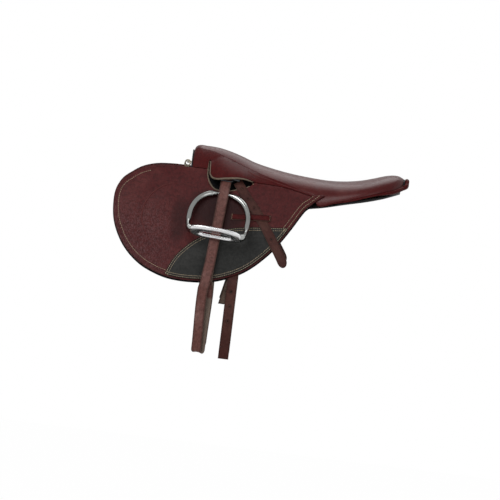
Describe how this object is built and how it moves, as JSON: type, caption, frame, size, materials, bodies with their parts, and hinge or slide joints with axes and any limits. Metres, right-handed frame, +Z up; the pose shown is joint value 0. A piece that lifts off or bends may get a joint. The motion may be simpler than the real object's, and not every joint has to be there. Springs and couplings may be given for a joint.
{
  "type": "english saddle",
  "caption": "Light english saddle with forward flaps, open-tread irons run up on looped stirrup leathers, hanging girth straps and a padded panel under a shallow seat.",
  "frame": {"origin": "in the channel between the panels, on the middle plane, where a rack's rail or a horse's back lies", "axes": "+X toward the cantle, -Y the near side, +Z up as the saddle sits on a rack"},
  "size_m": [0.614, 0.3826, 0.4366],
  "materials": {
    "oxblood_leather": "satin, fine pebbled grain",
    "charcoal_leather": "matt, wear patch",
    "black_leather": "satin",
    "strap_leather": "satin strap leather with bare cut edges",
    "polished_steel": "polished",
    "brass": "worn",
    "beech": "laminated, unfinished",
    "foam": "foam padding",
    "linen": "woven webbing"
  },
  "bodies": {
    "saddle": {"seat_cover": "oxblood_leather", "seat_foam": "foam", "seat_webbing": "linen", "tree_head": "beech", "tree_cantle": "beech", "head_plate": "polished_steel", "gullet_plate": "polished_steel", "gullet_lining": "black_leather", "head_facing": "black_leather", "cantle_roll": "oxblood_leather", "tree_bar_left": "beech", "panel_left": "black_leather", "skirt_left": "oxblood_leather", "flap_left": "oxblood_leather", "sweat_flap_left": "black_leather", "wear_panel_left": "charcoal_leather", "knee_roll_left": "black_leather", "leather_tail_left": "strap_leather", "keeper_left": "oxblood_leather", "girth_web_left": "linen", "girth_rivet_left": "brass", "stirrup_bar_left": "polished_steel", "dee_staple_left": "brass", "tree_bar_right": "beech", "panel_right": "black_leather", "skirt_right": "oxblood_leather", "flap_right": "oxblood_leather", "sweat_flap_right": "black_leather", "wear_panel_right": "charcoal_leather", "knee_roll_right": "black_leather", "leather_tail_right": "strap_leather", "keeper_right": "oxblood_leather", "girth_web_right": "linen", "girth_rivet_right": "brass", "stirrup_bar_right": "polished_steel", "dee_staple_right": "brass"},
    "girth_strap_left": {"girth_strap_left": "strap_leather"},
    "short_strap_left": {"short_strap_left": "strap_leather"},
    "leather_left": {"stirrup_leather_left": "strap_leather", "buckle_frame_left": "polished_steel"},
    "iron_left": {"stirrup_iron_left": "polished_steel"},
    "front_dee_left": {"front_dee_left": "brass"},
    "girth_strap_right": {"girth_strap_right": "strap_leather"},
    "short_strap_right": {"short_strap_right": "strap_leather"},
    "leather_right": {"stirrup_leather_right": "strap_leather", "buckle_frame_right": "polished_steel"},
    "iron_right": {"stirrup_iron_right": "polished_steel"},
    "front_dee_right": {"front_dee_right": "brass"}
  },
  "joints": [
    {"name": "leather_swing_left", "type": "hinge", "parent": "saddle", "child": "leather_left", "pos_m": [-0.072, -0.08259, -0.00056], "axis": [-0.9976, 0.0259, 0.0648], "range_deg": [0, 14]},
    {"name": "iron_slide_left", "type": "slide", "parent": "leather_left", "child": "iron_left", "axis": [-0.0698, -0.3705, -0.9262], "range_m": [0, 0.15]},
    {"name": "girth_strap_swing_left", "type": "hinge", "parent": "saddle", "child": "girth_strap_left", "pos_m": [-0.034, -0.09903, -0.06507], "axis": [0, -0.9285, 0.3714], "range_deg": [-12, 12]},
    {"name": "short_strap_swing_left", "type": "hinge", "parent": "saddle", "child": "short_strap_left", "pos_m": [-0.034, -0.09903, -0.06507], "axis": [0, -0.9285, 0.3714], "range_deg": [-4, 12]},
    {"name": "dee_swing_left", "type": "hinge", "parent": "saddle", "child": "front_dee_left", "pos_m": [-0.1585, -0.055, 0.022], "axis": [0, 1, 0], "range_deg": [-12, 75]},
    {"name": "leather_swing_right", "type": "hinge", "parent": "saddle", "child": "leather_right", "pos_m": [-0.072, 0.08259, -0.00056], "axis": [0.9976, 0.0259, -0.0648], "range_deg": [0, 14]},
    {"name": "iron_slide_right", "type": "slide", "parent": "leather_right", "child": "iron_right", "axis": [-0.0698, 0.3705, -0.9262], "range_m": [0, 0.15]},
    {"name": "girth_strap_swing_right", "type": "hinge", "parent": "saddle", "child": "girth_strap_right", "pos_m": [-0.034, 0.09903, -0.06507], "axis": [0, -0.9285, -0.3714], "range_deg": [-12, 12]},
    {"name": "short_strap_swing_right", "type": "hinge", "parent": "saddle", "child": "short_strap_right", "pos_m": [-0.034, 0.09903, -0.06507], "axis": [0, -0.9285, -0.3714], "range_deg": [-4, 12]},
    {"name": "dee_swing_right", "type": "hinge", "parent": "saddle", "child": "front_dee_right", "pos_m": [-0.1585, 0.055, 0.022], "axis": [0, 1, 0], "range_deg": [-12, 75]}
  ]
}
